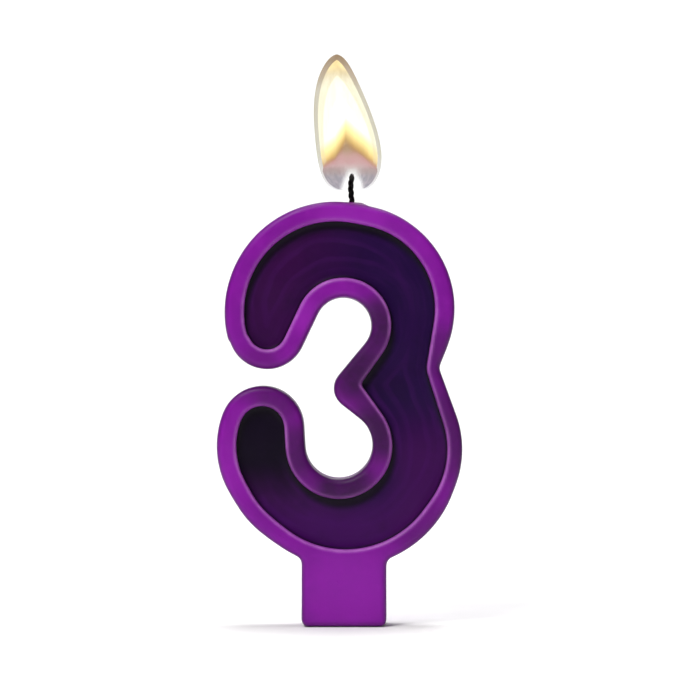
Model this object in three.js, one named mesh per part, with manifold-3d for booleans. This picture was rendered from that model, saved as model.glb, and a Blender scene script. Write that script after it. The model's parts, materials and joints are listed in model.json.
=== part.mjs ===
// Number birthday candle: a cast wax numeral three with a raised rim, a dark inlay in its
// recess, a tab to push into a cake, a braided wick and a flame.
// Millimetres, +Z up. The numeral's face looks along -Y. The origin is at the middle of the
// tab's flat end.
import * as THREE from 'three';
import { mergeVertices } from 'three/addons/utils/BufferGeometryUtils.js';
import Module from 'manifold-3d';

const wasm = await Module();
wasm.setup();

// ---- Driving dimensions -------------------------------------------------------------

const LEFT = 1; // an outline that turns left round a disc bulges outwards there
const RIGHT = -1;
const RIM = 3.6; // width of the raised rim
const THICKNESS = 10; // front to back
const EDGE = 0.8; // rounding of the outer edges, front and back
const LIP = 0.5; // chamfer on the rim's inner edge
const INLAY_DEPTH = 1.4; // from the rim's crown down to the inlay
const INLAY_THICKNESS = 1.2;
const GAP = 0.1; // between pieces that lie against each other
const OUTSIDE = 1; // how far a cutter runs past the surface it opens

// The numeral is a band run round these discs, anticlockwise from the lower right. Each has
// its centre, radius, the way the outline turns there, and the rim's width if not RIM.
const NUMERAL = [
  { name: 'lower bowl right', x: 3.1, z: 31.8, radius: 18.2, turn: LEFT, rim: 2.8 },
  { name: 'waist', x: 18.5, z: 46.4, radius: 1.3, turn: RIGHT, rim: 2.4 },
  { name: 'upper bowl right', x: 1.1, z: 57, radius: 18.8, turn: LEFT },
  { name: 'upper bowl left', x: -1.6, z: 56.4, radius: 19.9, turn: LEFT },
  { name: 'upper arm end', x: -13.8, z: 53.1, radius: 7, turn: LEFT },
  { name: 'upper hole', x: -0.1, z: 54, radius: 5, turn: RIGHT },
  { name: 'cusp', x: 1.8, z: 42.7, radius: 3.7, turn: LEFT },
  { name: 'lower hole', x: -0.9, z: 32.5, radius: 6, turn: RIGHT },
  { name: 'lower arm end', x: -14.7, z: 35.6, radius: 7.6, turn: LEFT },
  { name: 'lower bowl left', x: -6.1, z: 32.4, radius: 16.8, turn: LEFT },
  { name: 'lower bowl corner', x: -3, z: 31.7, radius: 19.1, turn: LEFT, rim: 3.5 },
  { name: 'lower bowl bottom', x: 0.3, z: 31.2, radius: 20.6, turn: LEFT, rim: 3.3 },
];
const RECESS_CUSP = { x: 3.5, z: 43.5, radius: 0.4 }; // the recess's tight corner at the cusp

const TAB_WIDTH = 15.4;
const TAB_CORNER = 1.2;
const TAB_FILLET = 1; // where the tab's sides meet the lower bowl

const WICK_X = 1.5;
const WICK_ROOT_Z = 75.9; // where the wick bends, just under the wax's top
const WICK_TIP_Z = 81.4;
const WICK_SWAY = [[1.5, 0], [1.3, 1.3], [1.05, 3], [1.3, 4.6], [1.55, 5.5]]; // x, height over root
const WICK_RADIUS = 0.55;
const WICK_COAT = 0.2; // priming wax on the embedded wick
const WICK_BURIED = [[1.9, 72.6], [4.8, 67.8], [9.2, 62.8], [11.6, 56.5]]; // x, z
const WICK_END_X = 11.4;
const WICK_END_Z = 49;
const WICK_CLEARANCE = 0.2; // above and below the bend
const STRANDS = 3;
const STRAND_RADIUS = 0.16;
const BRAID_PITCH = 3.6;
const BRAID_WIDE = 0.36; // how far a strand swings to each side
const BRAID_DEEP = 0.27; // and to the front and back

const MOUND_RADIUS = 2.4; // low mound of reset wax round the wick's foot
const MOUND_HEIGHT = 0.45;
const MOUND_SKIRT = 0.25; // how far its side runs down over the curved top
const DIMPLE_RADIUS = 1.5; // room in the mound for the wick to bend
const DIMPLE_DEPTH = 0.9;
const MOUND_SIDES = 16;

// The flame: half-widths and heights of its outer surface, on two curves that meet at the
// belly, and the sideways lean of its axis, which grows smoothly between two heights.
const FLAME_FOOT = [2.1, 78.4];
const FLAME_LOW_PULLS = [[4.9, 78.9], [5.8, 82.2]];
const FLAME_BELLY = [5.85, 85.5];
const FLAME_HIGH_PULLS = [[5.9, 93], [3, 102.6]];
const FLAME_TIP = [0, 103];
const FLAME_X = 1.1; // of the axis at the foot
const FLAME_LEAN = 2.4; // of the tip, towards -X
const LEAN_FROM = 82;
const LEAN_TO = 101;
const MANTLE_WALL = 0.3; // the faint outer zone
const ZONE_GAP = 0.2; // between the flame's zones
const LUMINOUS_FOOT = 82.3; // height of the bright zone's lower edge
const NOTCH_TOP = 86.8; // height of the dark hollow over the wick
const NOTCH_EDGE = 0.5; // the bright zone's thickness at its lower edge
const BASE_WALL = 0.9; // the blue cup below the bright zone

// Fineness of the facets.
const SAGITTA = 0.03; // between an arc and its chord
const SAME_POINT = 0.02;
const WICK_SIDES = 10;
const BURIED_STEPS = 24;
const STRAND_SIDES = 6;
const STRAND_STEPS = 20;
const FLAME_SIDES = 24;
const FLAME_STEPS = 7;

// ---- Outlines -----------------------------------------------------------------------

// The closed line that a taut band makes round the discs: arcs on the discs, and straight
// runs that touch one disc and the next.
function wrap(discs) {
  const count = discs.length;
  const fullTurn = 2 * Math.PI;
  const headings = discs.map((disc, i) => {
    const next = discs[(i + 1) % count];
    const across = new THREE.Vector2(next.x - disc.x, next.z - disc.z);
    const sine = (next.turn * next.radius - disc.turn * disc.radius) / across.length();
    return across.angle() - Math.asin(THREE.MathUtils.clamp(sine, -1, 1));
  });
  const points = [];
  discs.forEach((disc, i) => {
    const from = headings[(i + count - 1) % count];
    const turned = disc.turn * (headings[i] - from);
    const sweep = THREE.MathUtils.euclideanModulo(turned + SAME_POINT, fullTurn) - SAME_POINT;
    const stepAngle = 2 * Math.acos(1 - SAGITTA / Math.max(disc.radius, 2 * SAGITTA));
    const steps = Math.max(1, Math.ceil(sweep / stepAngle));
    for (let k = 0; k <= steps; k++) {
      const heading = from + disc.turn * sweep * k / steps;
      const point = new THREE.Vector2(
        disc.x + disc.turn * disc.radius * Math.sin(heading),
        disc.z - disc.turn * disc.radius * Math.cos(heading),
      );
      const last = points.at(-1);
      if (!last || last.distanceTo(point) > SAME_POINT) points.push(point);
    }
  });
  if (points[0].distanceTo(points.at(-1)) < SAME_POINT) points.pop();
  return new THREE.Shape(points);
}

// The fillet disc on one side of the tab: it touches the lower bowl and the tab's side.
function tabFillet(bowl, side) {
  const x = side * (TAB_WIDTH / 2 + TAB_FILLET);
  const reach = bowl.radius + TAB_FILLET;
  const z = bowl.z - Math.sqrt(reach ** 2 - (x - bowl.x) ** 2);
  return { x, z, radius: TAB_FILLET, turn: RIGHT };
}

function bodyOutline() {
  const bowl = NUMERAL.at(-1);
  const cornerX = TAB_WIDTH / 2 - TAB_CORNER;
  return wrap([
    ...NUMERAL,
    tabFillet(bowl, -1),
    { x: -cornerX, z: TAB_CORNER, radius: TAB_CORNER, turn: LEFT },
    { x: cornerX, z: TAB_CORNER, radius: TAB_CORNER, turn: LEFT },
    tabFillet(bowl, 1),
    bowl,
  ]);
}

// The recess inside the rim, drawn in by a further clearance.
function recessOutline(clearance) {
  return wrap(NUMERAL.map((disc) => {
    const place = disc.name === 'cusp' ? RECESS_CUSP : disc;
    const inset = clearance + (disc.name === 'cusp' ? 0 : disc.rim ?? RIM);
    const radius = Math.max(place.radius - disc.turn * inset, SAGITTA);
    return { ...place, turn: disc.turn, radius };
  }));
}

// ---- Solids -------------------------------------------------------------------------

// Extrudes an outline drawn in X and Z from the front towards the back, between two depths.
function plate(outline, frontY, backY, bevel = {}) {
  const sunk = bevel.bevelEnabled ? bevel.bevelThickness : 0;
  const geometry = new THREE.ExtrudeGeometry(outline, {
    depth: backY - frontY - 2 * sunk,
    bevelEnabled: false,
    ...bevel,
  });
  geometry.translate(0, 0, sunk - backY);
  return geometry.rotateX(Math.PI / 2);
}

function tubeAlong(curve, radius, sides, steps) {
  const corners = Array.from({ length: sides }, (_, k) => {
    const angle = 2 * Math.PI * k / sides;
    return new THREE.Vector2(radius * Math.cos(angle), radius * Math.sin(angle));
  });
  const section = new THREE.Shape(corners);
  return new THREE.ExtrudeGeometry(section, { steps, bevelEnabled: false, extrudePath: curve });
}

// Spins a profile of [radius, height] pairs about the vertical axis.
function turned(profile, sides) {
  const points = profile.map(([radius, height]) => new THREE.Vector2(radius, height));
  return new THREE.LatheGeometry(points, sides).rotateX(Math.PI / 2);
}

function merged(geometry) {
  const bare = geometry.index ? geometry.toNonIndexed() : geometry.clone();
  bare.deleteAttribute('normal');
  bare.deleteAttribute('uv');
  return mergeVertices(bare, 1e-4);
}

function solid(geometry) {
  const closed = merged(geometry);
  return new wasm.Manifold(new wasm.Mesh({
    numProp: 3,
    vertProperties: new Float32Array(closed.attributes.position.array),
    triVerts: new Uint32Array(closed.index.array),
  }));
}

function geometryOf(manifold) {
  const mesh = manifold.getMesh();
  const geometry = new THREE.BufferGeometry();
  geometry.setAttribute('position', new THREE.BufferAttribute(mesh.vertProperties, 3));
  geometry.setIndex(new THREE.BufferAttribute(mesh.triVerts, 1));
  return geometry;
}

// ---- The wick's lines ---------------------------------------------------------------

// Down from above the wax and round inside the stroke, clear of the recess and the holes.
function buriedRoute() {
  const points = [
    [WICK_X, waxTop() + OUTSIDE],
    [WICK_X, WICK_ROOT_Z],
    ...WICK_BURIED,
    [WICK_END_X, WICK_END_Z],
    [WICK_END_X, WICK_END_Z - OUTSIDE],
  ];
  return new THREE.CatmullRomCurve3(points.map(([x, z]) => new THREE.Vector3(x, 0, z)));
}

// The part of a curve that starts and ends the given lengths from its own ends.
class Shortened extends THREE.Curve {
  constructor(whole, atStart, atEnd) {
    super();
    this.whole = whole;
    this.from = atStart / whole.getLength();
    this.to = 1 - atEnd / whole.getLength();
  }

  getPoint(t, target = new THREE.Vector3()) {
    return this.whole.getPointAt(THREE.MathUtils.lerp(this.from, this.to, t), target);
  }
}

// One strand of the bare wick's braid: it weaves from side to side and front to back.
class BraidStrand extends THREE.Curve {
  constructor(index) {
    super();
    const sway = WICK_SWAY.map(([x, height]) => new THREE.Vector3(x, 0, WICK_ROOT_Z + height));
    this.middle = new THREE.CatmullRomCurve3(sway);
    this.phase = 2 * Math.PI * index / STRANDS;
  }

  getPoint(t, target = new THREE.Vector3()) {
    const length = WICK_TIP_Z - WICK_ROOT_Z;
    const height = THREE.MathUtils.lerp(WICK_CLEARANCE, length, t);
    const angle = 2 * Math.PI * height / BRAID_PITCH + this.phase;
    this.middle.getPoint(height / length, target);
    target.x += BRAID_WIDE * Math.sin(angle);
    target.y += BRAID_DEEP * Math.sin(2 * angle);
    return target;
  }
}

// ---- Wax and wick -------------------------------------------------------------------

const frontY = -THICKNESS / 2;
const backY = THICKNESS / 2;
const inlayY = frontY + INLAY_DEPTH;
const floorY = inlayY + INLAY_THICKNESS + GAP;
const coatBore = WICK_RADIUS + GAP;
const coatRadius = coatBore + WICK_COAT;

// Height of the wax straight under the wick.
function waxTop() {
  const bowl = NUMERAL.find((disc) => disc.name === 'upper bowl left');
  return bowl.z + Math.sqrt(bowl.radius ** 2 - (WICK_X - bowl.x) ** 2);
}

function wickMound(topZ) {
  return turned([
    [0, -DIMPLE_RADIUS],
    [MOUND_RADIUS, -DIMPLE_RADIUS],
    [MOUND_RADIUS, -MOUND_SKIRT],
    [DIMPLE_RADIUS + GAP, MOUND_HEIGHT],
    [0, MOUND_HEIGHT],
  ], MOUND_SIDES).translate(WICK_X, 0, topZ);
}

function wickDimple(topZ) {
  return turned([
    [0, -DIMPLE_DEPTH],
    [coatRadius, -DIMPLE_DEPTH],
    [DIMPLE_RADIUS, MOUND_HEIGHT],
    [DIMPLE_RADIUS, OUTSIDE],
    [0, OUTSIDE],
  ], MOUND_SIDES).translate(WICK_X, 0, topZ);
}

// The wax casting: slab, rim and tab in one, with the recess, the wick's bore, and the
// mound and dimple where the wick comes out.
function waxBody() {
  const edges = {
    bevelEnabled: true,
    bevelThickness: EDGE,
    bevelSize: EDGE,
    bevelOffset: -EDGE,
    bevelSegments: 2,
  };
  const lips = { bevelEnabled: true, bevelThickness: LIP, bevelSize: LIP, bevelSegments: 1 };
  const recess = recessOutline(0);
  const topZ = waxTop();
  const boreLine = new Shortened(buriedRoute(), 0, OUTSIDE - 2 * GAP);
  return geometryOf(solid(plate(bodyOutline(), frontY, backY, edges))
    .add(solid(wickMound(topZ)))
    .subtract(solid(plate(recess, frontY - OUTSIDE, floorY)))
    .subtract(solid(plate(recess, frontY - OUTSIDE, frontY + LIP, lips)))
    .subtract(solid(tubeAlong(boreLine, coatRadius + GAP, WICK_SIDES, BURIED_STEPS)))
    .subtract(solid(wickDimple(topZ))));
}

function inlay() {
  return plate(recessOutline(GAP), inlayY, floorY - GAP);
}

// From just under the bend to the wick's end, or that far past its end.
function fromBend(past) {
  const aboveBend = waxTop() + OUTSIDE - WICK_ROOT_Z + WICK_CLEARANCE;
  return new Shortened(buriedRoute(), aboveBend, OUTSIDE - past);
}

function buriedWick() {
  return tubeAlong(fromBend(0), WICK_RADIUS, WICK_SIDES, BURIED_STEPS);
}

// A sleeve of priming wax on the buried wick, open at both ends.
function wickCoat() {
  return geometryOf(solid(tubeAlong(fromBend(GAP), coatRadius, WICK_SIDES, BURIED_STEPS))
    .subtract(solid(tubeAlong(buriedRoute(), coatBore, WICK_SIDES, BURIED_STEPS))));
}

function wickStrand(index) {
  return tubeAlong(new BraidStrand(index), STRAND_RADIUS, STRAND_SIDES, STRAND_STEPS);
}

// ---- Flame --------------------------------------------------------------------------

// The space inside the flame's outer surface, drawn in by an inset, closed flat at its foot.
function flameSpace(inset, footDrop = 0) {
  const pair = ([radius, height]) => new THREE.Vector2(radius, height);
  const [foot, belly, tip] = [FLAME_FOOT, FLAME_BELLY, FLAME_TIP].map(pair);
  const low = new THREE.CubicBezierCurve(foot, ...FLAME_LOW_PULLS.map(pair), belly);
  const high = new THREE.CubicBezierCurve(belly, ...FLAME_HIGH_PULLS.map(pair), tip);
  const outer = [...low.getPoints(FLAME_STEPS), ...high.getPoints(FLAME_STEPS).slice(1)];
  const narrowing = 1 - inset / belly.x;
  const lowering = 2 * inset / (tip.y - foot.y);
  const side = outer.map(({ x, y }) => [x * narrowing, y - (y - foot.y) * lowering]);
  const [footRadius, footZ] = side[0];
  const lowZ = footZ - footDrop;
  return solid(turned([[0, lowZ], [footRadius, lowZ], ...side], FLAME_SIDES));
}

// Everything within the flame's reach between two heights.
function layer(lowZ, highZ) {
  const radius = 2 * FLAME_BELLY[0];
  return solid(turned([[0, lowZ], [radius, lowZ], [radius, highZ], [0, highZ]], FLAME_SIDES));
}

// Shifts every level of the upright shape along X, so that the flame leans.
function leaning(manifold) {
  const geometry = geometryOf(manifold);
  const places = geometry.attributes.position;
  for (let i = 0; i < places.count; i++) {
    const share = THREE.MathUtils.smoothstep(places.getZ(i), LEAN_FROM, LEAN_TO);
    places.setX(i, places.getX(i) + FLAME_X - FLAME_LEAN * share);
  }
  return geometry;
}

const zoneInset = MANTLE_WALL + ZONE_GAP;

// The faint outer zone, a thin skin open at its foot.
function flameMantle() {
  return leaning(flameSpace(0).subtract(flameSpace(MANTLE_WALL, OUTSIDE)));
}

// The bright zone, with the dark hollow let into it from below.
function flameLuminous() {
  const notchRadius = FLAME_BELLY[0] - zoneInset - NOTCH_EDGE;
  const notch = solid(turned([
    [0, LUMINOUS_FOOT - OUTSIDE],
    [notchRadius, LUMINOUS_FOOT - OUTSIDE],
    [notchRadius, LUMINOUS_FOOT],
    [0, NOTCH_TOP],
  ], FLAME_SIDES));
  const below = layer(FLAME_FOOT[1] - OUTSIDE, LUMINOUS_FOOT);
  return leaning(flameSpace(zoneInset).subtract(below).subtract(notch));
}

// The blue cup below the bright zone, open round the wick.
function flameBase() {
  const cup = flameSpace(zoneInset).intersect(layer(FLAME_FOOT[1], LUMINOUS_FOOT - ZONE_GAP));
  return leaning(cup.subtract(flameSpace(zoneInset + BASE_WALL, OUTSIDE)));
}

// ---- The assembly -------------------------------------------------------------------

const candle = new THREE.Group();

function add(name, geometry, color, roughness, opacity = 1) {
  const material = new THREE.MeshStandardMaterial({ color, roughness, metalness: 0, opacity });
  material.transparent = opacity < 1;
  const mesh = new THREE.Mesh(geometry, material);
  mesh.name = name;
  candle.add(mesh);
}

add('wax_body', waxBody(), 0x7d1a8c, 0.45);
add('inlay', inlay(), 0x2f1142, 0.3);
add('buried_wick', buriedWick(), 0xe8dfca, 0.9);
add('wick_coat', wickCoat(), 0xe2d6ea, 0.5);
for (let i = 0; i < STRANDS; i++) add(`wick_strand_${i + 1}`, wickStrand(i), 0x0c0b0b, 0.95);
add('flame_mantle', flameMantle(), 0xb98a4a, 1, 0.4);
add('flame_luminous', flameLuminous(), 0xfff3b0, 1, 0.9);
add('flame_base', flameBase(), 0x9aa6c8, 1, 0.4);

export default candle;
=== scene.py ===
"""Number birthday candle: the looks of its wax, wick and flame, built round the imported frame.

Shapes, and places in the materials, are worked out in millimetres in the row frame;
new_piece() turns them into metres. The studio at the end is in metres.
"""

import json
import math

import bpy
import numpy as np
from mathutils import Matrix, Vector
from mathutils.bvhtree import BVHTree


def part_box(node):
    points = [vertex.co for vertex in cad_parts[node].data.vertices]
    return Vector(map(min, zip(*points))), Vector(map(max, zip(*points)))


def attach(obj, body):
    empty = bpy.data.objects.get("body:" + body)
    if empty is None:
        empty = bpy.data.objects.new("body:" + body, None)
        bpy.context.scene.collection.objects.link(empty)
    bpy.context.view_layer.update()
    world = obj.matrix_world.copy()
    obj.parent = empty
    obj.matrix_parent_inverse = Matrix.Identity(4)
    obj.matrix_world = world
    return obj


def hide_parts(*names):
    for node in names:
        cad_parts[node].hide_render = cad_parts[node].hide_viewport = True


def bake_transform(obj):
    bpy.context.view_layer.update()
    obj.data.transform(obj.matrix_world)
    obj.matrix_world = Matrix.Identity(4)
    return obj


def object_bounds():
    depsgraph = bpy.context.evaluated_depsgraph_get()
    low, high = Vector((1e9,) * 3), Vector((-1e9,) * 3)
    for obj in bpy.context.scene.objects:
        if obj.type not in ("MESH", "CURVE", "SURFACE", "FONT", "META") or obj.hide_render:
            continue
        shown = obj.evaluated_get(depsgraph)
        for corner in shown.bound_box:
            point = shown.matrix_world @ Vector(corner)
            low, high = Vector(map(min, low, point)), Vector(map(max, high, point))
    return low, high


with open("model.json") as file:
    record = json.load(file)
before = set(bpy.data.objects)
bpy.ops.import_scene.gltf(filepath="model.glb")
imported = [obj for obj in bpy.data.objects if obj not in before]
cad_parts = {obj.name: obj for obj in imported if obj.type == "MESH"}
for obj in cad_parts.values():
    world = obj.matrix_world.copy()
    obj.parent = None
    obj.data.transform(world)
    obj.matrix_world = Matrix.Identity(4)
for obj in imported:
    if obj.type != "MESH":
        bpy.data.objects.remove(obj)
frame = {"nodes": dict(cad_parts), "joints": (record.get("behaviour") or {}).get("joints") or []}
cad_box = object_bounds()

MM = 0.001
PITCH = 0.31  # of the grid that the wax is shaped on

# ---- Sizes taken from the frame -------------------------------------------------------


def box_mm(node):
    low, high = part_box(node)
    return np.array(low) / MM, np.array(high) / MM


body_low, body_high = box_mm("wax_body")
inlay_low, inlay_high = box_mm("inlay")
flame_low, flame_high = box_mm("flame_mantle")
bend = np.array(frame["joints"][0]["pos_m"]) / MM

FRONT = body_low[1]
BACK = body_high[1]
WICK_X = bend[0]
BEVEL_END = BACK - 0.8  # depth at which the side wall of the wax is straight
WAX_TOP = body_high[2] - 0.45  # without the mound round the wick
ROUNDING = 1.15  # of the outer edges
LIP_ROUNDING = 0.9
LIP_HIGHLIGHT_DEPTH = 1.0  # of the painted highlight, a pale line along the lip
LIP_HIGHLIGHT_PLACE = 0.25
LIP_HIGHLIGHT_WIDTH = 0.28
SEAM_HEIGHT = 0.06
SEAM_WIDTH = 0.35
SINK_DEPTH = 0.35  # of the hollow that shrinking wax leaves in the back
SINK_SPAN = (1.2, 5.5)  # from the outer edge, over which the hollow deepens
WAVE_DEPTH = 0.035
MOUND_CURVE = 0.11
MOUND_RADIUS = 3.4
MOUND_ROOT = 3.0  # how deep the mound goes on inside the wax
CRATER_FLOOR_Z = WAX_TOP - 0.6
CRATER_FLOOR_RADIUS = 0.85
CRATER_SLOPE = 0.48
BLEND_REACH = 0.5  # over which the mound and the crater run into the wax round them
BORE_CLEARANCE = 0.4  # from the buried wick to the wax
BORE_REACH = 1.2  # how far from the wick the wax is looked at for that
RECESS_GAP = 0.1  # from the edge of the inlay to the recess's wall, and behind it


# ---- Meshes ---------------------------------------------------------------------------


def new_piece(name, points, faces):
    """A smooth-shaded mesh object from points in millimetres."""
    mesh = bpy.data.meshes.new(name)
    mesh.from_pydata((np.asarray(points) * MM).tolist(), [], [list(map(int, f)) for f in faces])
    mesh.update()
    mesh.polygons.foreach_set("use_smooth", [True] * len(mesh.polygons))
    piece = bpy.data.objects.new(name, mesh)
    bpy.context.scene.collection.objects.link(piece)
    return piece


def set_attribute(piece, name, values):
    attribute = piece.data.attributes.new(name, "FLOAT", "POINT")
    attribute.data.foreach_set("value", np.asarray(values, np.float32))


ON_PLANE = 0.01  # how near a corner lies to the plane that it is on


def outline_at(node, depth):
    """The corners of a node's outline, in order, at the depth where its side wall starts."""
    mesh = frame["nodes"][node].data
    places = {}
    corner_of = []
    for vertex in mesh.vertices:
        x, y, z = vertex.co / MM
        on_plane = abs(y - depth) < ON_PLANE
        key = (round(x, 2), round(z, 2)) if on_plane else None
        corner_of.append(key)
        if on_plane:
            places[key] = (x, z)
    uses = {}
    for polygon in mesh.polygons:
        keys = [corner_of[v] for v in polygon.vertices]
        if None not in keys:
            for a, b in zip(keys, keys[1:] + keys[:1]):
                if a != b:
                    uses[frozenset((a, b))] = uses.get(frozenset((a, b)), 0) + 1
    inner = {pair for pair, count in uses.items() if count > 1}
    neighbours = {}
    for polygon in mesh.polygons:
        keys = [corner_of[v] for v in polygon.vertices]
        for a, b in zip(keys, keys[1:] + keys[:1]):
            if a and b and a != b and frozenset((a, b)) not in inner:
                neighbours.setdefault(a, set()).add(b)
                neighbours.setdefault(b, set()).add(a)
    start = min(neighbours)
    loop = [start]
    last, here = None, start
    while True:
        onward = sorted(neighbours[here] - {last})[0]
        if onward == start:
            break
        loop.append(onward)
        last, here = here, onward
    return np.array([places[key] for key in loop])


CURVE_SPACING = 0.3


def rounded(corners):
    """A smooth closed curve through corners that lie on arcs and straight runs."""
    ahead = np.roll(corners, -1, 0) - corners
    length = np.linalg.norm(ahead, axis=1)
    heading = ahead / length[:, None]
    before = np.roll(length, 1)
    share = before / (length + before)
    share = np.where(length > 2 * before, 1, np.where(before > 2 * length, 0, share))
    tangent = share[:, None] * heading + (1 - share[:, None]) * np.roll(heading, 1, 0)
    tangent /= np.linalg.norm(tangent, axis=1)[:, None]
    curve = []
    for i, start in enumerate(corners):
        j = (i + 1) % len(corners)
        steps = max(1, int(round(length[i] / CURVE_SPACING)))
        t = (np.arange(steps) / steps)[:, None]
        pull_out = tangent[i] * length[i]
        pull_in = tangent[j] * length[i]
        curve.append(
            (2 * t**3 - 3 * t**2 + 1) * start
            + (t**3 - 2 * t**2 + t) * pull_out
            + (3 * t**2 - 2 * t**3) * corners[j]
            + (t**3 - t**2) * pull_in
        )
    return np.concatenate(curve)


def eased(loop, passes):
    """The loop with each point drawn a little towards its neighbours, several times over."""
    for _ in range(passes):
        loop = (np.roll(loop, 1, 0) + 2 * loop + np.roll(loop, -1, 0)) / 4
    return loop


def distance_to(loop, xs, zs):
    """Distance in mm from each grid point to the loop, negative inside it."""
    x, z = np.meshgrid(xs, zs, indexing="ij")
    nearest = np.full(x.shape, np.inf)
    inside = np.zeros(x.shape, bool)
    for (ax, az), (bx, bz) in zip(loop, np.roll(loop, -1, 0)):
        run_x, run_z = bx - ax, bz - az
        along = ((x - ax) * run_x + (z - az) * run_z) / (run_x**2 + run_z**2)
        along = np.clip(along, 0, 1)
        gap = (x - ax - along * run_x) ** 2 + (z - az - along * run_z) ** 2
        np.minimum(nearest, gap, out=nearest)
        if az != bz:
            crosses = (az > z) != (bz > z)
            inside ^= crosses & (x < ax + (z - az) * run_x / run_z)
    return np.sqrt(nearest) * np.where(inside, -1, 1)


def sampled(grid, xs, zs, points):
    """Values of a grid in X and Z at the points, blended between the grid's points."""
    u = np.clip((points[:, 0] - xs[0]) / PITCH, 0, len(xs) - 1.001)
    v = np.clip((points[:, 2] - zs[0]) / PITCH, 0, len(zs) - 1.001)
    i, j = u.astype(int), v.astype(int)
    u, v = u - i, v - j
    low = grid[i, j] * (1 - u) + grid[i + 1, j] * u
    high = grid[i, j + 1] * (1 - u) + grid[i + 1, j + 1] * u
    return low * (1 - v) + high * v


def smooth_max(a, b, reach):
    """The larger value, with the crease between the two rounded off."""
    share = np.clip(0.5 + 0.5 * (a - b) / reach, 0, 1)
    return b * (1 - share) + a * share + reach * share * (1 - share)


def smooth_min(a, b, reach):
    return -smooth_max(-a, -b, reach)


def ramp(value, start, end):
    """From 0 at the start to 1 at the end, eased at both; the end may be the lower one."""
    t = np.clip((value - start) / (end - start), 0, 1)
    return t * t * (3 - 2 * t)


WAVE_COUNT = 7
WAVE_SWING = 0.55  # share of its height that each wave is taken to add


def waves(x, y, z, seed, longest, shortest):
    """A gentle wandering value from 0 to 1, made of a few crossing waves."""
    chance = np.random.default_rng(seed)
    total = 0
    for _ in range(WAVE_COUNT):
        way = chance.normal(size=3)
        way *= 2 * math.pi / (np.linalg.norm(way) * chance.uniform(shortest, longest))
        phase = chance.uniform(0, 2 * math.pi)
        total = total + np.sin(way[0] * x + way[1] * y + way[2] * z + phase)
    return np.clip(0.5 + total / (2 * WAVE_SWING * WAVE_COUNT), 0, 1)


def skin(field, corner):
    """The surface where a grid of distances is nought: its points in mm and its four-sided faces."""
    inside = field < 0
    filled = np.zeros(tuple(n - 1 for n in field.shape), np.int8)
    corners = [(i, j, k) for i in (0, 1) for j in (0, 1) for k in (0, 1)]
    size = filled.shape
    for i, j, k in corners:
        filled += inside[i : i + size[0], j : j + size[1], k : k + size[2]]
    cells = np.argwhere((filled > 0) & (filled < 8))
    number = np.full(size, -1)
    number[tuple(cells.T)] = np.arange(len(cells))
    total = np.zeros((len(cells), 3))
    count = np.zeros(len(cells))
    for a in corners:
        for axis in range(3):
            if a[axis]:
                continue
            b = tuple(1 if n == axis else a[n] for n in range(3))
            value_a = field[tuple((cells + a).T)]
            value_b = field[tuple((cells + b).T)]
            crosses = (value_a < 0) != (value_b < 0)
            along = np.where(crosses, value_a / np.where(crosses, value_a - value_b, 1), 0)
            place = np.array(a) + along[:, None] * (np.array(b) - np.array(a))
            total += place * crosses[:, None]
            count += crosses
    points = corner + (cells + total / count[:, None]) * PITCH
    faces = []
    for axis in range(3):
        u, v = (axis + 1) % 3, (axis + 2) % 3
        low = [slice(1, -1)] * 3
        high = [slice(1, -1)] * 3
        low[axis], high[axis] = slice(None, -1), slice(1, None)
        low_in, high_in = inside[tuple(low)], inside[tuple(high)]
        start = np.array([1, 1, 1])
        start[axis] = 0
        for leaving in (True, False):
            edges = np.argwhere((low_in != high_in) & (low_in == leaving)) + start
            ring = []
            for du, dv in ((1, 1), (0, 1), (0, 0), (1, 0)):
                cell = edges.copy()
                cell[:, u] -= du
                cell[:, v] -= dv
                ring.append(number[tuple(cell.T)])
            faces.append(np.stack(ring if leaving else ring[::-1], 1))
    return points, np.concatenate(faces)


ACROSS_PATHS = (0.0, 1.0, 0.02)  # a way that no tube runs along


def tube(path, radius, sides):
    """A closed tube of rings along a path; radius is one number or one for each point."""
    radii = np.broadcast_to(radius, len(path))
    ahead = np.gradient(path, axis=0)
    ahead /= np.linalg.norm(ahead, axis=1)[:, None]
    across = np.cross(ahead, ACROSS_PATHS)
    across /= np.linalg.norm(across, axis=1)[:, None]
    upward = np.cross(ahead, across)
    angle = 2 * math.pi * np.arange(sides) / sides
    ring = (
        across[:, None] * np.cos(angle)[None, :, None]
        + upward[:, None] * np.sin(angle)[None, :, None]
    )
    points = (path[:, None] + ring * radii[:, None, None]).reshape(-1, 3)
    faces = []
    for i in range(len(path) - 1):
        for k in range(sides):
            a, b = i * sides + k, i * sides + (k + 1) % sides
            faces.append([a, b, b + sides, a + sides])
    ends = np.array([path[0], path[-1]])
    first, last = len(points), len(points) + 1
    top = (len(path) - 1) * sides
    caps = []
    for k in range(sides):
        caps.append([first, (k + 1) % sides, k])
        caps.append([last, top + k, top + (k + 1) % sides])
    return np.concatenate([points, ends]), faces + caps


def joined(parts):
    """One list of points and one of faces from several."""
    points, faces, count = [], [], 0
    for part_points, part_faces in parts:
        points.append(part_points)
        faces += [[index + count for index in face] for face in part_faces]
        count += len(part_points)
    return np.concatenate(points), faces


# ---- Materials ------------------------------------------------------------------------


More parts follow.
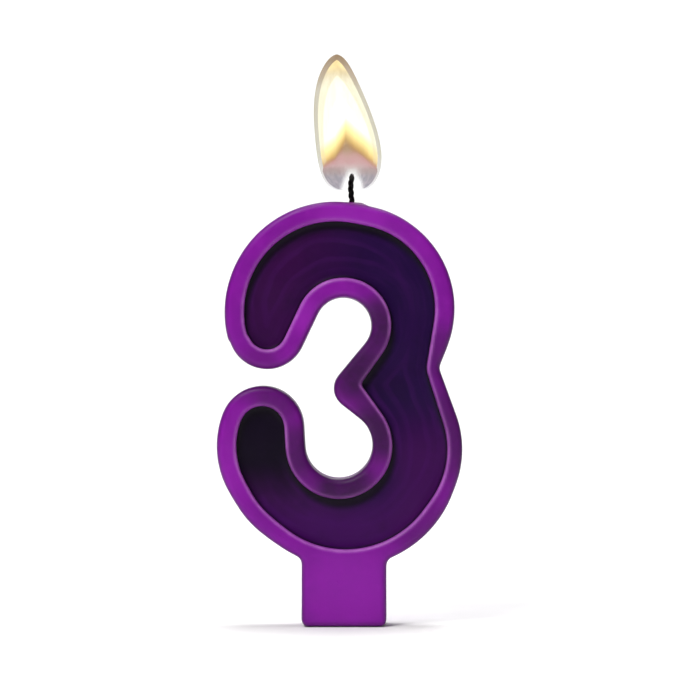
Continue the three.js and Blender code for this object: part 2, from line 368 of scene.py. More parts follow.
class Surface:
    """Builds a node material; sockets and plain values both go in as inputs."""

    def __init__(self, name):
        self.material = bpy.data.materials.new(name)
        self.material.use_nodes = True
        self.tree = self.material.node_tree
        self.tree.nodes.clear()

    def feed(self, socket, value):
        if isinstance(value, bpy.types.NodeSocket):
            self.tree.links.new(value, socket)
        else:
            socket.default_value = value

    def node(self, kind, inputs=None, **settings):
        node = self.tree.nodes.new("ShaderNode" + kind)
        for key, value in settings.items():
            setattr(node, key, value)
        for key, value in (inputs or {}).items():
            self.feed(node.inputs[key], value)
        return node

    def place(self):
        return self.node("TexCoord").outputs["Object"]

    def millimetres(self, place):
        """The X, Y and Z of a place, in millimetres."""
        scaled = self.node("VectorMath", {0: place, "Scale": 1 / MM}, operation="SCALE")
        return self.node("SeparateXYZ", {0: scaled.outputs[0]}).outputs

    def attribute(self, name):
        return self.node("Attribute", attribute_name=name).outputs["Fac"]

    def maths(self, operation, a, b=0.0, c=0.0):
        return self.node("Math", {0: a, 1: b, 2: c}, operation=operation).outputs[0]

    def between(self, value, start, end, low=0.0, high=1.0):
        """The value's place between start and end, eased, as a number from low to high."""
        inputs = {"Value": value, 1: start, 2: end, 3: low, 4: high}
        return self.node("MapRange", inputs, interpolation_type="SMOOTHSTEP").outputs[0]

    def stretched_up(self, place, scale):
        """The place with its height scaled, so that noise on it runs in upright streaks."""
        return self.node("Mapping", {"Vector": place, "Scale": (1, 1, scale)}).outputs[0]

    def noise(self, vector, scale, detail, roughness=0.55):
        """Clouds from 0 to 1; the scale is how many there are in a metre."""
        inputs = {
            "Vector": vector,
            "Scale": scale,
            "Detail": detail,
            "Roughness": roughness,
        }
        return self.node("TexNoise", inputs).outputs["Fac"]

    def mix(self, share, a, b):
        """From colour a to colour b by the share."""
        return self.node("Mix", {0: share, 6: a, 7: b}, data_type="RGBA").outputs[2]

    def colours(self, value, stops):
        """A colour ramp through [position, colour] stops."""
        node = self.node("ValToRGB", {0: value})
        ramp_stops = node.color_ramp.elements
        while len(ramp_stops) < len(stops):
            ramp_stops.new(0.5)
        for stop, (position, colour) in zip(ramp_stops, stops):
            stop.position = position
            stop.color = colour
        return node.outputs[0]

    def bump(self, height, distance, strength, normal=None):
        """A normal that follows the height; the distance is the bump's depth in metres."""
        inputs = {"Height": height, "Distance": distance, "Strength": strength}
        if normal is not None:
            inputs["Normal"] = normal
        return self.node("Bump", inputs).outputs[0]

    def finish(self, shader):
        self.node("OutputMaterial", {"Surface": shader})
        return self.material

    def principled(self, inputs):
        return self.finish(self.node("BsdfPrincipled", inputs).outputs[0])


def srgb(code, alpha=1.0):
    """A hex colour as the linear numbers that shaders use."""
    parts = [int(code[i : i + 2], 16) / 255 for i in (0, 2, 4)]
    linear = [p / 12.92 if p <= 0.04045 else ((p + 0.055) / 1.055) ** 2.4 for p in parts]
    return (*linear, alpha)


def purple_wax():
    """Cast wax: satin, slightly see-through, mottled, with painted shade, painted light and a
    painted highlight in places.
    """
    s = Surface("purple_wax")
    place = s.place()
    cloud = s.noise(place, 90, 3)
    mottle = s.noise(place, 420, 4, 0.6)
    grain = s.noise(place, 2600, 2)
    colour = s.colours(cloud, [(0.3, srgb("6f0a86")), (0.7, srgb("820c98"))])
    colour = s.mix(s.between(mottle, 0.45, 0.75, 0, 0.3), colour, srgb("8f18a6"))
    # Painted shade: darker where the shaded spots lie, on the front.
    shade = s.maths("MULTIPLY", s.attribute("painted_shade"), s.between(mottle, 0.2, 0.8, 0.9, 1.1))
    colour = s.mix(shade, colour, srgb("3b0a48"))
    # Painted light where the lit spots lie.
    colour = s.mix(s.maths("MULTIPLY", s.attribute("painted_light"), 0.75), colour, srgb("9a22b2"))
    # Painted shade on the rounding of the outer edges.
    colour = s.mix(s.maths("MULTIPLY", s.attribute("edge_shade"), 0.6), colour, srgb("470a55"))
    # Painted highlight: a pale line along the lip of the recess.
    lip_highlight = s.maths("MULTIPLY", s.attribute("lip_highlight"), s.between(mottle, 0.3, 0.7, 0.5, 0.8))
    colour = s.mix(lip_highlight, colour, srgb("b86cc6"))
    pits = s.node("TexVoronoi", {"Vector": place, "Scale": 900.0}).outputs["Distance"]
    pit_here = s.between(s.noise(place, 260, 1), 0.62, 0.7)
    pit = s.maths("MULTIPLY", s.between(pits, 0.05, 0.2, 1, 0), pit_here)
    normal = s.bump(s.noise(place, 700, 3), 0.00006, 0.5)
    normal = s.bump(grain, 0.00002, 0.6, normal)
    normal = s.bump(s.maths("SUBTRACT", 1.0, pit), 0.00008, 0.7, normal)
    return s.principled({
        "Base Color": colour,
        "Roughness": s.between(mottle, 0.3, 0.7, 0.36, 0.5),
        "IOR": 1.44,
        "Specular IOR Level": 0.22,
        "Subsurface Weight": 0.2,
        "Subsurface Radius": (1.0, 0.25, 1.0),
        "Subsurface Scale": 0.001,
        "Normal": normal,
    })


def dark_wax():
    """Poured dark wax: smooth, with faint streaks that follow the stroke as it was filled; painted
    light, shade and sheen on it.
    """
    s = Surface("dark_wax")
    place = s.place()
    x, _, z = s.millimetres(place)
    wall = s.attribute("from_wall")
    drift = s.noise(place, 70, 2)
    lane = s.maths("MULTIPLY_ADD", drift, 5.0, wall)
    lanes = s.node("CombineXYZ", {0: lane, 1: s.maths("MULTIPLY", drift, 4.0), 2: 0.0})
    streak = s.noise(lanes.outputs[0], 0.55, 2, 0.45)
    cloud = s.noise(place, 130, 3, 0.6)
    # Painted shade: darker and bluer towards the right.
    shade_rightward = s.between(s.maths("MULTIPLY_ADD", cloud, 8.0, x), -8, 12)
    colour = s.mix(shade_rightward, srgb("31053d"), srgb("1e0538"))
    # Painted light: lighter purple low down.
    low = s.between(s.maths("MULTIPLY_ADD", cloud, -6.0, z), 14, 24, 1, 0)
    colour = s.mix(low, colour, srgb("39054e"))
    # Painted light: lighter purple low on the right.
    lit_low_right = s.maths("MULTIPLY", s.between(x, 4, 14), s.between(z, 30, 42, 1, 0))
    colour = s.mix(s.maths("MULTIPLY", lit_low_right, 0.75), colour, srgb("3e064e"))
    # Painted sheen: lighter along the faint streaks, which also set the bumps and roughness.
    colour = s.mix(s.between(streak, 0.42, 0.72, 0, 0.3), colour, srgb("460c60"))
    colour = s.mix(s.between(cloud, 0.5, 0.75, 0, 0.3), colour, srgb("160520"))
    # Painted shade: the lower-left arm near black.
    arm_shade = s.maths("MULTIPLY", s.between(x, -11, -4, 1, 0), s.between(z, 21, 30))
    arm_shade = s.maths("MULTIPLY", arm_shade, s.between(z, 43, 48, 1, 0))
    colour = s.mix(s.maths("MULTIPLY", arm_shade, 0.92), colour, srgb("050310"))
    # Painted shade in the corner where the inlay meets the wall.
    colour = s.mix(s.between(wall, 0.05, 0.6, 0.7, 0), colour, srgb("0c0114"))
    # Painted shadow that the walls cast, below and right of them.
    colour = s.mix(s.maths("MULTIPLY", s.attribute("wall_shadow"), 0.9), colour, srgb("080010"))
    normal = s.bump(streak, 0.00012, 0.2)
    normal = s.bump(s.noise(place, 1500, 2), 0.00002, 0.5, normal)
    return s.principled({
        "Base Color": colour,
        "Roughness": s.between(streak, 0.3, 0.7, 0.3, 0.42),
        "IOR": 1.44,
        "Specular IOR Level": 0.12,
        "Normal": normal,
    })


def woven_cotton():
    """Braided cotton soaked with wax, for the buried wick: unburnt, but scorched at the top."""
    s = Surface("clean_cotton")
    place = s.place()
    weave = s.node(
        "TexWave", {"Vector": place, "Scale": 420.0, "Distortion": 2.0, "Detail": 2.0},
        bands_direction="DIAGONAL",
    ).outputs["Fac"]
    fibre = s.noise(s.stretched_up(place, 0.2), 6000, 3)
    colour = s.mix(s.between(weave, 0.2, 0.8), srgb("cdbf9f"), srgb("efe7d3"))
    colour = s.mix(s.maths("MULTIPLY", fibre, 0.25), colour, srgb("b9a988"))
    z = s.millimetres(place)[2]
    colour = s.mix(s.between(z, WAX_TOP - 2.55, WAX_TOP - 0.85), colour, srgb("0f0b0c"))
    return s.principled({
        "Base Color": colour,
        "Roughness": 0.75,
        "Normal": s.bump(weave, 0.0001, 0.8),
    })


def priming_wax():
    """The thin clear coat on the buried wick, melted into the purple wax at its top."""
    s = Surface("clear_wax")
    place = s.place()
    drips = s.noise(s.stretched_up(place, 0.3), 700, 3)
    colour = s.mix(drips, srgb("d9cbe2"), srgb("f0e8f2"))
    z = s.millimetres(place)[2]
    colour = s.mix(s.between(z, WAX_TOP - 3.05, WAX_TOP - 1.25), colour, srgb("430a50"))
    return s.principled({
        "Base Color": colour,
        "Roughness": s.between(drips, 0.3, 0.7, 0.3, 0.5),
        "Subsurface Weight": 0.3,
        "Subsurface Radius": (1.0, 0.9, 1.0),
        "Subsurface Scale": 0.0008,
        "Normal": s.bump(drips, 0.0001, 0.5),
    })


def charred_cotton():
    """Charred braid: matt black, ashy where fibres stand up, wax-wet at the foot."""
    s = Surface("charred_cotton")
    place = s.place()
    z = s.millimetres(place)[2]
    fibre = s.noise(s.stretched_up(place, 0.25), 9000, 3, 0.7)
    ash = s.noise(place, 2500, 2)
    colour = s.mix(s.between(ash, 0.55, 0.8, 0, 0.5), srgb("060505"), srgb("211d1b"))
    wet = s.between(z, bend[2] + 0.4, bend[2] + 1.6, 1, 0)
    colour = s.mix(s.maths("MULTIPLY", wet, 0.35), colour, srgb("2a0d2e"))
    return s.principled({
        "Base Color": colour,
        "Roughness": s.between(wet, 0, 1, 0.85, 0.4),
        "Specular IOR Level": 0.25,
        "Normal": s.bump(fibre, 0.00004, 0.9),
    })


def glow(surface, colour, strength, alpha):
    """Light of one colour that hides what is behind it by the share alpha."""
    light = surface.node("Emission", {"Color": colour, "Strength": strength}).outputs[0]
    clear = surface.node("BsdfTransparent").outputs[0]
    mixed = surface.node("MixShader", {0: alpha, 1: clear, 2: light}).outputs[0]
    return surface.finish(mixed)


# The flame's dark hollow opens along Y under an upside-down V over the wick. Sizes in mm.
NOTCH_X = 0.3
NOTCH_TOP = 86.8
NOTCH_STEEP = 1.6  # fall of the V's left side for each millimetre sideways, near its top
NOTCH_GENTLE = 0.55  # and further down
NOTCH_KINK = 2.0  # height lost to the steep part
NOTCH_RIGHT = 0.8
RIM_FOOT_Z = 78.0  # height from which the outer zone's colours are spread
TIP_POWER = 2.6  # of the gold glow inside the flame's tip
TIP_COVER = 0.92


def over_notch(s, x, z):
    """Height over the V in millimetres, negative inside the hollow."""
    aside = s.maths("SUBTRACT", x, NOTCH_X)
    steep = s.maths("MULTIPLY", aside, -NOTCH_STEEP)
    gentle = s.maths("MULTIPLY_ADD", aside, -NOTCH_GENTLE, NOTCH_KINK)
    left = s.maths("MAXIMUM", s.maths("MINIMUM", steep, gentle), 0.0)
    right = s.maths("MULTIPLY", s.maths("MAXIMUM", aside, 0.0), NOTCH_RIGHT)
    height = s.maths("SUBTRACT", z, NOTCH_TOP)
    return s.maths("ADD", height, s.maths("ADD", left, right))


def beside_wick(s, x):
    return s.maths("ABSOLUTE", s.maths("SUBTRACT", x, WICK_X))


def grey(value):
    return (value, value, value, 1)


def flame_rim():
    """The faint outer zone: tan at the sides, brown at the tip, grey-lavender at the foot."""
    s = Surface("flame_outer")
    place = s.place()
    x, _, z = s.millimetres(place)
    height = s.node("MapRange", {"Value": z, 1: RIM_FOOT_Z, 2: flame_high[2]}).outputs[0]
    colour = s.colours(height, [
        (0.0, srgb("a9a5b8")),
        (0.16, srgb("aba098")),
        (0.26, srgb("aea783")),
        (0.72, srgb("b2a680")),
        (0.86, srgb("a58a5e")),
        (1.0, srgb("94744a")),
    ])
    alpha = s.colours(height, [
        (0.0, grey(0.12)),
        (0.14, grey(0.3)),
        (0.3, grey(0.42)),
        (0.74, grey(0.44)),
        (0.88, grey(0.56)),
        (1.0, grey(0.7)),
    ])
    streak = s.noise(s.stretched_up(place, 0.12), 900, 2)
    alpha = s.maths("MULTIPLY", alpha, s.between(streak, 0.3, 0.7, 0.9, 1.08))
    open_foot = s.between(beside_wick(s, x), 1.4, 2.8)
    low = s.between(z, 79.5, 83)
    alpha = s.maths("MULTIPLY", alpha, s.maths("MAXIMUM", open_foot, low))
    return glow(s, colour, 1.0, alpha)


def flame_layer(name, body_colour, strength, cover, lift):
    """One shell of the bright zone, with gold over the hollow and a brown-orange V at it."""
    s = Surface(name)
    place = s.place()
    x, _, z = s.millimetres(place)
    waver = s.noise(s.stretched_up(place, 0.3), 500, 2)
    over = s.maths("ADD", over_notch(s, x, z), s.maths("MULTIPLY_ADD", waver, 0.5, -0.25 - lift))
    colour = s.colours(s.maths("MULTIPLY", over, 0.1), [
        (0.0, srgb("bf8450")),
        (0.03, srgb("cc9452")),
        (0.08, srgb("ecc26c")),
        (0.15, srgb("f9d88a")),
        (0.28, srgb("fce8a4")),
        (0.42, body_colour),
    ])
    colour = s.mix(s.between(z, 98, 101.2), colour, srgb("f4e0a6"))
    power = s.between(over, 0.0, 2.6, 1.2, strength)
    tip = s.between(z, 96.5, 101.8)
    power = s.maths("MAXIMUM", power, s.maths("MULTIPLY", tip, TIP_POWER))
    full_cover = s.maths("MAXIMUM", s.maths("MULTIPLY", tip, TIP_COVER), cover)
    alpha = s.maths("MULTIPLY", s.between(over, -0.45, 0.15), full_cover)
    return glow(s, colour, power, alpha)


def flame_hollow():
    """The cup round the wick and the hollow over it: lavender low down, pink under the V."""
    s = Surface("flame_blue")
    place = s.place()
    x, _, z = s.millimetres(place)
    streak = s.noise(s.stretched_up(place, 0.1), 1300, 2)
    cup = s.mix(s.between(streak, 0.35, 0.65), srgb("847d8e"), srgb("aca3aa"))
    colour = s.mix(s.between(z, 80.6, 82), cup, srgb("a98c8c"))
    colour = s.mix(s.between(z, 81.8, 83.2), colour, srgb("e09ba8"))
    colour = s.mix(s.between(z, 84.3, 86), colour, srgb("bd8468"))
    flare = s.maths("MULTIPLY", s.maths("SUBTRACT", z, flame_low[2]), 0.35)
    gap = s.maths("ADD", beside_wick(s, x), flare)
    streaky = s.between(streak, 0.3, 0.7, 0.5, 0.7)
    low_cover = s.maths("MULTIPLY", s.between(gap, 1.5, 3.0), streaky)
    pink = s.between(z, 81.4, 84, 0.0, 0.62)
    side_pink = s.between(beside_wick(s, x), 0.8, 2.6, 0.0, 0.5)
    cover = s.mix(s.between(z, 81.5, 83), low_cover, s.maths("MAXIMUM", pink, side_pink))
    cover = s.maths("MULTIPLY", cover, s.between(over_notch(s, x, z), 0.1, 1.1, 1, 0))
    return glow(s, colour, 1.0, cover)


# ---- Wax ------------------------------------------------------------------------------

xs = np.arange(body_low[0] - 2 * PITCH, body_high[0] + 3 * PITCH, PITCH)
ys = np.arange(FRONT - 2 * PITCH, BACK + 3 * PITCH, PITCH)
zs = np.arange(body_low[2] - 2 * PITCH, body_high[2] + 3 * PITCH, PITCH)
grid_corner = np.array([xs[0], ys[0], zs[0]])
outer_loop = eased(rounded(outline_at("wax_body", BEVEL_END)), 3)
recess_loop = eased(rounded(outline_at("inlay", inlay_low[1])), 4)
outer = distance_to(outer_loop, xs, zs)
recess = distance_to(recess_loop, xs, zs) - RECESS_GAP


def carve_bore(field):
    """Leaves room in the wax for the buried wick and its coat."""
    cotton = frame["nodes"]["buried_wick"].data
    tree = BVHTree.FromPolygons(
        [v.co / MM for v in cotton.vertices], [p.vertices for p in cotton.polygons]
    )
    low, high = box_mm("buried_wick")
    spans = [
        np.flatnonzero((axis > low[n] - BORE_REACH) & (axis < high[n] + BORE_REACH))
        for n, axis in enumerate((xs, ys, zs))
    ]
    for i in spans[0]:
        for j in spans[1]:
            for k in spans[2]:
                point = Vector((xs[i], ys[j], zs[k]))
                hit, normal, _, gap = tree.find_nearest(point, BORE_REACH)
                if hit is not None:
                    gap = gap if (point - hit).dot(normal) > 0 else -gap
                    field[i, j, k] = max(field[i, j, k], BORE_CLEARANCE - gap)


def wax_field():
    """Distance from the wax's surface at each point of the grid, negative inside."""
    x, y, z = xs[:, None, None], ys[None, :, None], zs[None, None, :]
    side = outer[:, None, :]
    wave = waves(x, y, z, seed=3, longest=16, shortest=7)
    seam = SEAM_HEIGHT * (1 - np.exp(-((y / SEAM_WIDTH) ** 2)))
    sink = SINK_DEPTH * ramp(-side, *SINK_SPAN) * (y > 0)
    across = side + ROUNDING + seam + WAVE_DEPTH * wave
    through = np.abs(y) - (BACK - ROUNDING - sink - WAVE_DEPTH * wave)
    slab = (
        np.minimum(np.maximum(across, through), 0)
        + np.hypot(np.maximum(across, 0), np.maximum(through, 0))
        - ROUNDING
    )
    from_wick = np.hypot(x - WICK_X, y)
    mound_top = body_high[2] - MOUND_CURVE * from_wick**2
    mound = np.maximum(z - mound_top, from_wick - MOUND_RADIUS)
    slab = smooth_min(slab, np.maximum(mound, WAX_TOP - MOUND_ROOT - z), BLEND_REACH)
    crater_wall = from_wick - CRATER_FLOOR_RADIUS - CRATER_SLOPE * (z - CRATER_FLOOR_Z)
    slab = smooth_max(slab, -np.maximum(crater_wall, CRATER_FLOOR_Z - z), BLEND_REACH)
    hollow = np.maximum(recess[:, None, :], y - inlay_high[1] - RECESS_GAP)
    slab = smooth_max(slab, -hollow, LIP_ROUNDING)
    flat_end = body_low[2] - z
    slab = np.maximum(slab, flat_end)
    carve_bore(slab)
    return slab


# Places where shade is painted into the wax, darker in the middle of the numeral and on its right:
# X, Z, how far it reaches, how much.
SHADED_SPOTS = [
    (6.8, 54.0, 5.6, 0.95),
    (2.6, 45.5, 5.6, 1.0),
    (6.8, 35.5, 6.4, 1.0),
    (0.0, 24.8, 6.4, 1.0),
    (-8.4, 31.5, 5.6, 0.82),
    (-11.5, 41.0, 4.6, 0.65),
    (-17.5, 43.5, 3.6, 0.4),
    (20.0, 35.0, 10.0, 0.75),
    (17.0, 49.0, 5.0, 0.55),
    (14.5, 18.0, 6.0, 0.4),
    (-15.0, 47.0, 3.6, 0.4),
]

# Places where light is painted into the wax, lighter at the top, the bottom, the left and the upper
# hole's top-left.
LIT_SPOTS = [
    (0.0, 6.0, 9.0, 0.7),
    (2.0, 75.0, 7.0, 0.8),
    (-21.5, 29.0, 6.0, 0.35),
    (13.0, 71.0, 5.0, 0.35),
    (-7.5, 56.0, 3.4, 0.6),
]


def spots(points, places):
    """How strongly each point is touched by the round soft places, from 0 to 1."""
    clear = np.ones(len(points))
    for x, z, reach, amount in places:
        distance = np.hypot(points[:, 0] - x, points[:, 2] - z)
        clear *= 1 - amount * np.exp(-((distance / reach) ** 4))
    return 1 - clear


def make_wax():
    """The body, with painted shade and painted light in places, painted shade at its outer edges and
    a painted highlight along its lip.
    """
    points, faces = skin(wax_field(), grid_corner)
    piece = new_piece("candle_wax", points, faces)
    edge_gap = -sampled(outer, xs, zs, points)
    recess_gap = sampled(recess, xs, zs, points)
    on_front = points[:, 1] < FRONT + LIP_HIGHLIGHT_DEPTH
    towards_front = ramp(points[:, 1], 1.0, -2.0)
    # Painted shade over the shaded spots, on the front only.
    set_attribute(piece, "painted_shade", spots(points, SHADED_SPOTS) * towards_front)
    set_attribute(piece, "painted_light", spots(points, LIT_SPOTS))
    # Painted highlight along the lip, weaker where the lip faces down, away from the light above.
    lip_highlight = np.exp(-(((recess_gap - LIP_HIGHLIGHT_PLACE) / LIP_HIGHLIGHT_WIDTH) ** 2))
    facing_down = (sampled(recess, xs, zs, points + [0, 0, PITCH]) - recess_gap) / PITCH
    highlight_facing = 1 - 0.6 * ramp(facing_down, -0.2, 0.6)
    set_attribute(piece, "lip_highlight", lip_highlight * on_front * highlight_facing)
    # Painted shade within about a millimetre of the outer edge.
    set_attribute(piece, "edge_shade", ramp(edge_gap, 1.0, 0.1))
    piece.data.materials.append(purple_wax())
    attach(piece, "candle")
    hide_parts("wax_body")


INLAY_TUCK = 0.35  # how far its edge runs into the wall, out of sight
INLAY_CLIMB = 0.3  # height that the poured wax climbs at the wall
CLIMB_REACH = 0.4  # distance from the wall in which it sinks back to a third of that
INLAY_WAVE = 0.12
WALL_SHADOW_SHIFT = np.array([-0.4, 0.0, 1.4])  # painted shadow cast by the walls: the inlay is darkest below and right of a wall


def make_inlay():
    """The poured wax climbs a little where it meets the wall, and lies in slow waves."""
    x, y, z = xs[:, None, None], ys[None, :, None], zs[None, None, :]
    wall = recess[:, None, :]
    climb = INLAY_CLIMB * np.exp(np.minimum(wall, 0) / CLIMB_REACH)
    wave = waves(x, 0, z, seed=11, longest=14, shortest=6)
    face_y = inlay_low[1] + INLAY_WAVE * wave - climb
    field = np.maximum(np.maximum(wall - INLAY_TUCK, face_y - y), y - inlay_high[1])
    points, faces = skin(field, grid_corner)
    piece = new_piece("candle_inlay", points, faces)
    set_attribute(piece, "from_wall", -sampled(recess, xs, zs, points))
    # Painted shadow of the walls, for light from above and a little to the left.
    above = sampled(recess, xs, zs, points + WALL_SHADOW_SHIFT)
    set_attribute(piece, "wall_shadow", ramp(above, -0.9, 0.5))
    piece.data.materials.append(dark_wax())
    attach(piece, "candle")
    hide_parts("inlay")


# ---- Wick -----------------------------------------------------------------------------

WICK_TIP_Z = box_mm("wick_strand_1")[1][2]
# Height over the bend, and how far the wick stands aside there.
WICK_SWAY = [(-0.6, 0), (0.0, 0), (1.3, -0.15), (3.0, -0.3), (4.6, -0.15), (5.6, 0.05)]
SWAY_POINTS = 80
SWAY_PASSES = 40
WICK_FOOT = -0.55  # height over the bend
BRAID_PITCH = 3.6  # height in which a strand crosses over and back
BRAID_WIDE = 0.3
BRAID_DEEP = 0.18
BRAID_TIP = 0.45  # share of its width that the braid keeps at the burnt tip
BRAID_TIP_FROM = 4.6  # heights over the bend between which it narrows
BRAID_TIP_TO = 5.7
STRANDS = 3
YARNS = 5  # in each strand
YARN_RADIUS = 0.115
YARN_SPREAD = 0.13  # of the yarns round their strand
YARN_PITCH = 1.9  # height of one turn round its strand
YARN_POINTS = 64
YARN_SIDES = 7
FIBRES = 26
FIBRE_RADIUS = 0.014
FIBRE_SIDES = 4


def wick_line(height):
    """The swaying centre of the wick: how far it stands aside at a height over the bend."""
    heights, asides = zip(*WICK_SWAY)
    fine = np.linspace(heights[0], heights[-1], SWAY_POINTS)
    line = np.interp(fine, heights, asides)
    for _ in range(SWAY_PASSES):
        line[1:-1] = (line[:-2] + 2 * line[1:-1] + line[2:]) / 4
    return np.interp(height, fine, line)


def strand_point(height, strand):
    """Where a strand's middle is; the strands cross over in a flat braid."""
    angle = 2 * math.pi * (height / BRAID_PITCH + strand / STRANDS)
    width = BRAID_TIP + (1 - BRAID_TIP) * ramp(height, BRAID_TIP_TO, BRAID_TIP_FROM)
    aside = wick_line(height) + BRAID_WIDE * np.sin(angle) * width
    deep = BRAID_DEEP * np.sin(2 * angle) * width
    return np.stack([WICK_X + aside, deep, bend[2] + height], -1)


def yarn(strand, number, top):
    """A yarn that winds round its strand, lumpy, and tapers at its burnt end."""
    height = np.linspace(WICK_FOOT, top, YARN_POINTS)
    path = strand_point(height, strand)
    turn = 2 * math.pi * (height / YARN_PITCH + number / YARNS + strand / STRANDS)
    path[:, 0] += YARN_SPREAD * np.cos(turn)
    path[:, 1] += YARN_SPREAD * np.sin(turn)
    radius = YARN_RADIUS * (1 + 0.12 * np.sin(9 * height + number))
    radius = radius * (1 - 0.6 * ramp(height, top - 0.35, top))
    return tube(path, radius, YARN_SIDES)


def fibre(chance, length):
    """A loose fibre that stands off the braid and curls upward."""
    strand = chance.integers(STRANDS)
    base = chance.uniform(0.3, length - 0.3)
    reach = chance.uniform(0.15, 0.4)
    way = chance.normal(size=3)
    way[2] = abs(way[2]) + 0.6
    way /= np.linalg.norm(way)
    t = np.linspace(0, 1, 7)[:, None]
    start = strand_point(np.array([base]), strand)[0]
    path = start + way * (reach * t + 0.1) + np.array([0, 0, 0.12]) * t**2
    path[:, 2] = np.minimum(path[:, 2], WICK_TIP_Z - 0.01 - 0.005 * (1 - t[:, 0]))
    return tube(path, FIBRE_RADIUS, FIBRE_SIDES)


def make_wick():
    """Three strands of twisted yarns in a flat braid, with loose fibres along it."""
    chance = np.random.default_rng(5)
    length = WICK_TIP_Z - bend[2]
    parts = []
    for strand in range(STRANDS):
        for number in range(YARNS):
            parts.append(yarn(strand, number, length - chance.uniform(0.05, 0.5)))
    for _ in range(FIBRES):
        parts.append(fibre(chance, length))
    piece = new_piece("wick_braid", *joined(parts))
    piece.data.materials.append(charred_cotton())
    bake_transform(piece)
    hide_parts("wick_strand_1", "wick_strand_2", "wick_strand_3")


# ---- Flame ----------------------------------------------------------------------------

BELLY_RADIUS = (flame_high[1] - flame_low[1]) / 2
FOOT = (2.1, flame_low[2])
BELLY = (BELLY_RADIUS, flame_low[2] + 7.1)
TIP = (0.0, flame_high[2])
LOW_PULLS = ((4.9, flame_low[2] + 0.5), (5.8, flame_low[2] + 3.8))
HIGH_PULLS = ((5.9, flame_low[2] + 14.6), (3.0, flame_low[2] + 24.2))
FLAME_X = 1.1  # of the flame's axis at its foot
FLAME_LEAN = 2.4  # how far the axis leans to the left
LEAN_FROM = 82.0
LEAN_TO = 101.0
BRIGHT_FROM = 80.5  # height at which the bright zone starts
DROP_FROM = 86.0  # height from which its shells are lowered
CUP_TOP = 82.0
CUP_INSET = 0.35
CUP_RISE = 0.15
SHOULDER_Z = 83.6  # height to which the hollow's side goes on upright
NECK = (2.4, 85.6)
HOLLOW_TOP = (0.0, NOTCH_TOP + 0.2)
TIP_POINTS = 20  # of the profile, where its radius only falls
NOTCH_MARGIN = 0.8  # how far inside the hollow a shell's faces go on, unseen
FLAME_SIDES = 72
# The bright zone's shells from the outside in. For each: how far inside the flame's surface,
# how much lower at the tip, how far over the V it starts, its colour, strength and cover.
SHELLS = {
    "flame_skin": (0.72, 0.75, 0.0, "fffbe0", 1.75, 0.5),
    "flame_middle": (1.5, 3.0, 0.3, "fffdf0", 2.2, 0.6),
    "flame_core": (2.4, 6.0, 1.2, "ffffff", 3.2, 1.0),
}


def curve_points(start, pulls, end, count):
    """Points on a curve from start to end that two pulls bend."""
    t = np.linspace(0, 1, count)[:, None]
    p = [np.array(q, float) for q in (start, *pulls, end)]
    return (
        (1 - t) ** 3 * p[0]
        + 3 * (1 - t) ** 2 * t * p[1]
        + 3 * (1 - t) * t**2 * p[2]
        + t**3 * p[3]
    )


def flame_profile():
    """The flame's outer surface as [radius, height] pairs, from the foot to the tip."""
    low = curve_points(FOOT, LOW_PULLS, BELLY, 26)
    high = curve_points(BELLY, HIGH_PULLS, TIP, 60)
    return np.concatenate([low, high[1:]])


def drawn_in(profile, inset, top_drop):
    """The profile made slimmer by the inset, and shorter at the tip."""
    share = np.clip((profile[:, 1] - DROP_FROM) / (flame_high[2] - DROP_FROM), 0, 1)
    radius = profile[:, 0] - inset
    height = profile[:, 1] - top_drop * share
    apex = np.interp(0.0, radius[-TIP_POINTS:][::-1], height[-TIP_POINTS:][::-1])
    kept = radius > 0.02
    slimmer = np.stack([radius[kept], height[kept]], 1)
    return np.concatenate([slimmer, [[0.0, apex]]])


def points_over_notch(points):
    """over_notch() for points instead of a material."""
    aside = points[:, 0] - NOTCH_X
    left = np.minimum(-NOTCH_STEEP * aside, NOTCH_KINK - NOTCH_GENTLE * aside)
    fall = np.where(aside < 0, left, NOTCH_RIGHT * aside)
    return points[:, 2] - NOTCH_TOP + fall


def above_notch(part, lift):
    """The part without the faces that lie wholly inside the hollow."""
    points, faces = part
    kept = points_over_notch(points) > lift - NOTCH_MARGIN
    faces = [face for face in faces if any(kept[index] for index in face)]
    used = sorted({index for face in faces for index in face})
    place = {index: n for n, index in enumerate(used)}
    return points[used], [[place[index] for index in face] for face in faces]


def spun(profile):
    """Spins a [radius, height] profile about the flame's leaning axis."""
    angle = 2 * math.pi * np.arange(FLAME_SIDES) / FLAME_SIDES
    lean = FLAME_X - FLAME_LEAN * ramp(profile[:, 1], LEAN_FROM, LEAN_TO)
    radius = profile[:, 0]
    x = lean[:, None] + radius[:, None] * np.cos(angle)
    y = radius[:, None] * np.sin(angle)
    z = np.repeat(profile[:, 1][:, None], FLAME_SIDES, 1)
    rings = np.stack([x, y, z], -1)[:-1]
    points = rings.reshape(-1, 3)
    faces = []
    for i in range(len(rings) - 1):
        for k in range(FLAME_SIDES):
            a, b = i * FLAME_SIDES + k, i * FLAME_SIDES + (k + 1) % FLAME_SIDES
            faces.append([a, b, b + FLAME_SIDES, a + FLAME_SIDES])
    top = (len(rings) - 1) * FLAME_SIDES
    apex = len(points)
    middles = [[lean[-1], 0, profile[-1, 1]], [lean[0], 0, profile[0, 1]]]
    for k in range(FLAME_SIDES):
        faces.append([top + k, top + (k + 1) % FLAME_SIDES, apex])
    for k in range(FLAME_SIDES):
        faces.append([(k + 1) % FLAME_SIDES, k, apex + 1])
    return np.concatenate([points, middles]), faces


def flame_piece(name, parts, materials, node):
    """A piece that rides on the flame, with a material for each of its parts."""
    piece = new_piece(name, *joined(parts))
    counts = np.cumsum([0] + [len(faces) for _, faces in parts])
    for index, material in enumerate(materials):
        piece.data.materials.append(material)
        for polygon in piece.data.polygons[int(counts[index]) : int(counts[index + 1])]:
            polygon.material_index = index
    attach(piece, "flame")
    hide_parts(node)


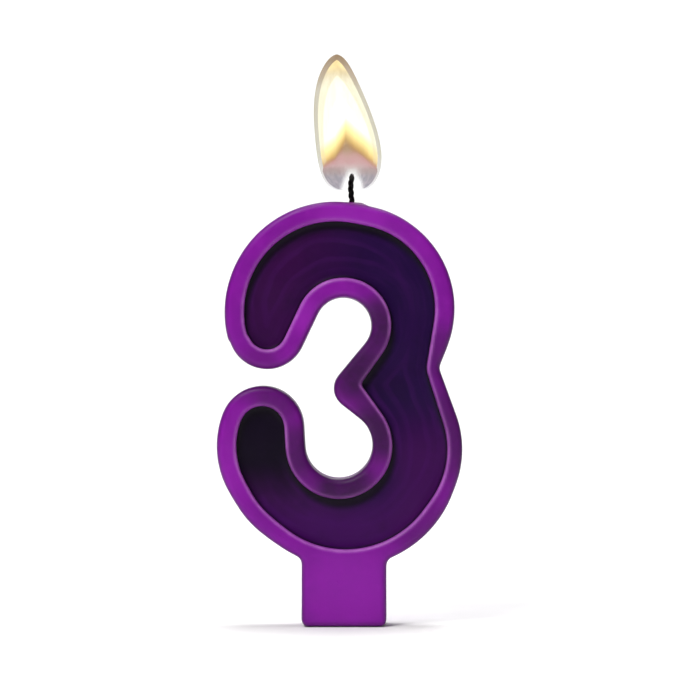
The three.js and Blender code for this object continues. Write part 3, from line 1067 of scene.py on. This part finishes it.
def make_flame():
    outside = flame_profile()
    flame_piece("flame_rim", [spun(outside)], [flame_rim()], "flame_mantle")
    bright = outside[outside[:, 1] > BRIGHT_FROM]
    shells = []
    layers = []
    for name, (inset, top_drop, lift, colour, strength, cover) in SHELLS.items():
        shells.append(above_notch(spun(drawn_in(bright, inset, top_drop)), lift))
        layers.append(flame_layer(name, srgb(colour), strength, cover, lift))
    flame_piece("flame_bright", shells, layers, "flame_luminous")
    cup = outside[outside[:, 1] < CUP_TOP]
    cup = np.stack([cup[:, 0] - CUP_INSET, cup[:, 1] + CUP_RISE], 1)
    cone = curve_points(cup[-1], ((cup[-1, 0], SHOULDER_Z), NECK), HOLLOW_TOP, 22)
    hollow = np.concatenate([cup, cone[1:]])
    flame_piece("flame_hollow", [spun(hollow)], [flame_hollow()], "flame_base")


# ---- Studio ---------------------------------------------------------------------------

FLOOR_FRONT = -3.0
FLOOR_SIDE = 3.0
BACKDROP_FROM = 0.45
BACKDROP_BEND = 0.25
BACKDROP_TOP = 2.5


def plain_stage():
    """A pale floor that curves up into a backdrop."""
    turn = np.linspace(0, math.pi / 2, 16)
    line = [(FLOOR_FRONT, 0.0)]
    for a in turn:
        away = BACKDROP_FROM + BACKDROP_BEND * math.sin(a)
        line.append((away, BACKDROP_BEND * (1 - math.cos(a))))
    line.append((BACKDROP_FROM + BACKDROP_BEND, BACKDROP_TOP))
    points, faces = [], []
    for y, z in line:
        points += [(x / MM, y / MM, z / MM) for x in (-FLOOR_SIDE, FLOOR_SIDE)]
    for i in range(len(line) - 1):
        faces.append([2 * i, 2 * i + 1, 2 * i + 3, 2 * i + 2])
    floor = new_piece("floor", points, faces)
    s = Surface("floor_white")
    speckle = s.between(s.noise(s.place(), 60, 2), 0.3, 0.7)
    colour = s.mix(speckle, grey(0.86), grey(0.88))
    floor.data.materials.append(s.principled({"Base Color": colour, "Roughness": 0.9}))


def soft_light(name, place, target, size, power, colour):
    lamp = bpy.data.lights.new(name, "AREA")
    lamp.shape = "DISK"
    lamp.size = size
    lamp.energy = power
    lamp.color = colour
    light = bpy.data.objects.new(name, lamp)
    light.location = place
    light.rotation_euler = (Vector(target) - Vector(place)).to_track_quat("-Z", "Y").to_euler()
    bpy.context.scene.collection.objects.link(light)


def studio():
    """Soft light from the front, from above and on the backdrop, with a dim white sky."""
    middle = (0, 0, 0.045)
    soft_light("key", (-0.3, -0.45, 0.72), middle, 0.3, 5.4, (1.0, 0.99, 0.97))
    soft_light("top", (0.05, 0.1, 0.75), middle, 0.4, 3.2, (1.0, 1.0, 1.0))
    soft_light("backdrop", (0, 0.2, 0.9), (0, 0.7, 0.15), 0.6, 3.6, (1.0, 1.0, 1.0))
    world = bpy.data.worlds.new("studio")
    world.use_nodes = True
    sky = world.node_tree.nodes["Background"].inputs
    sky["Color"].default_value = grey(1.0)
    sky["Strength"].default_value = 0.15
    bpy.context.scene.world = world
    bpy.context.scene.view_settings.view_transform = "Standard"


FRAME_FILL = 0.84  # share of the picture's height that the candle takes up


def camera():
    """Level with the candle's middle and square to its face."""
    low, high = cad_box
    view = bpy.data.cameras.new("camera")
    view.lens = 150
    view.clip_start = 0.01
    eye = bpy.data.objects.new("camera", view)
    middle_x = (low[0] + high[0]) / 2
    middle_z = (low[2] + high[2]) / 2
    distance = (high[2] - low[2]) / FRAME_FILL * view.lens / view.sensor_width
    eye.location = (middle_x, -distance, middle_z)
    eye.rotation_euler = (math.pi / 2, 0, 0)
    bpy.context.scene.collection.objects.link(eye)
    bpy.context.scene.camera = eye


camera()
studio()
plain_stage()
make_wax()
make_inlay()
make_wick()
make_flame()
for node, finish in (("buried_wick", woven_cotton), ("wick_coat", priming_wax)):
    frame["nodes"][node].material_slots[0].material = finish()
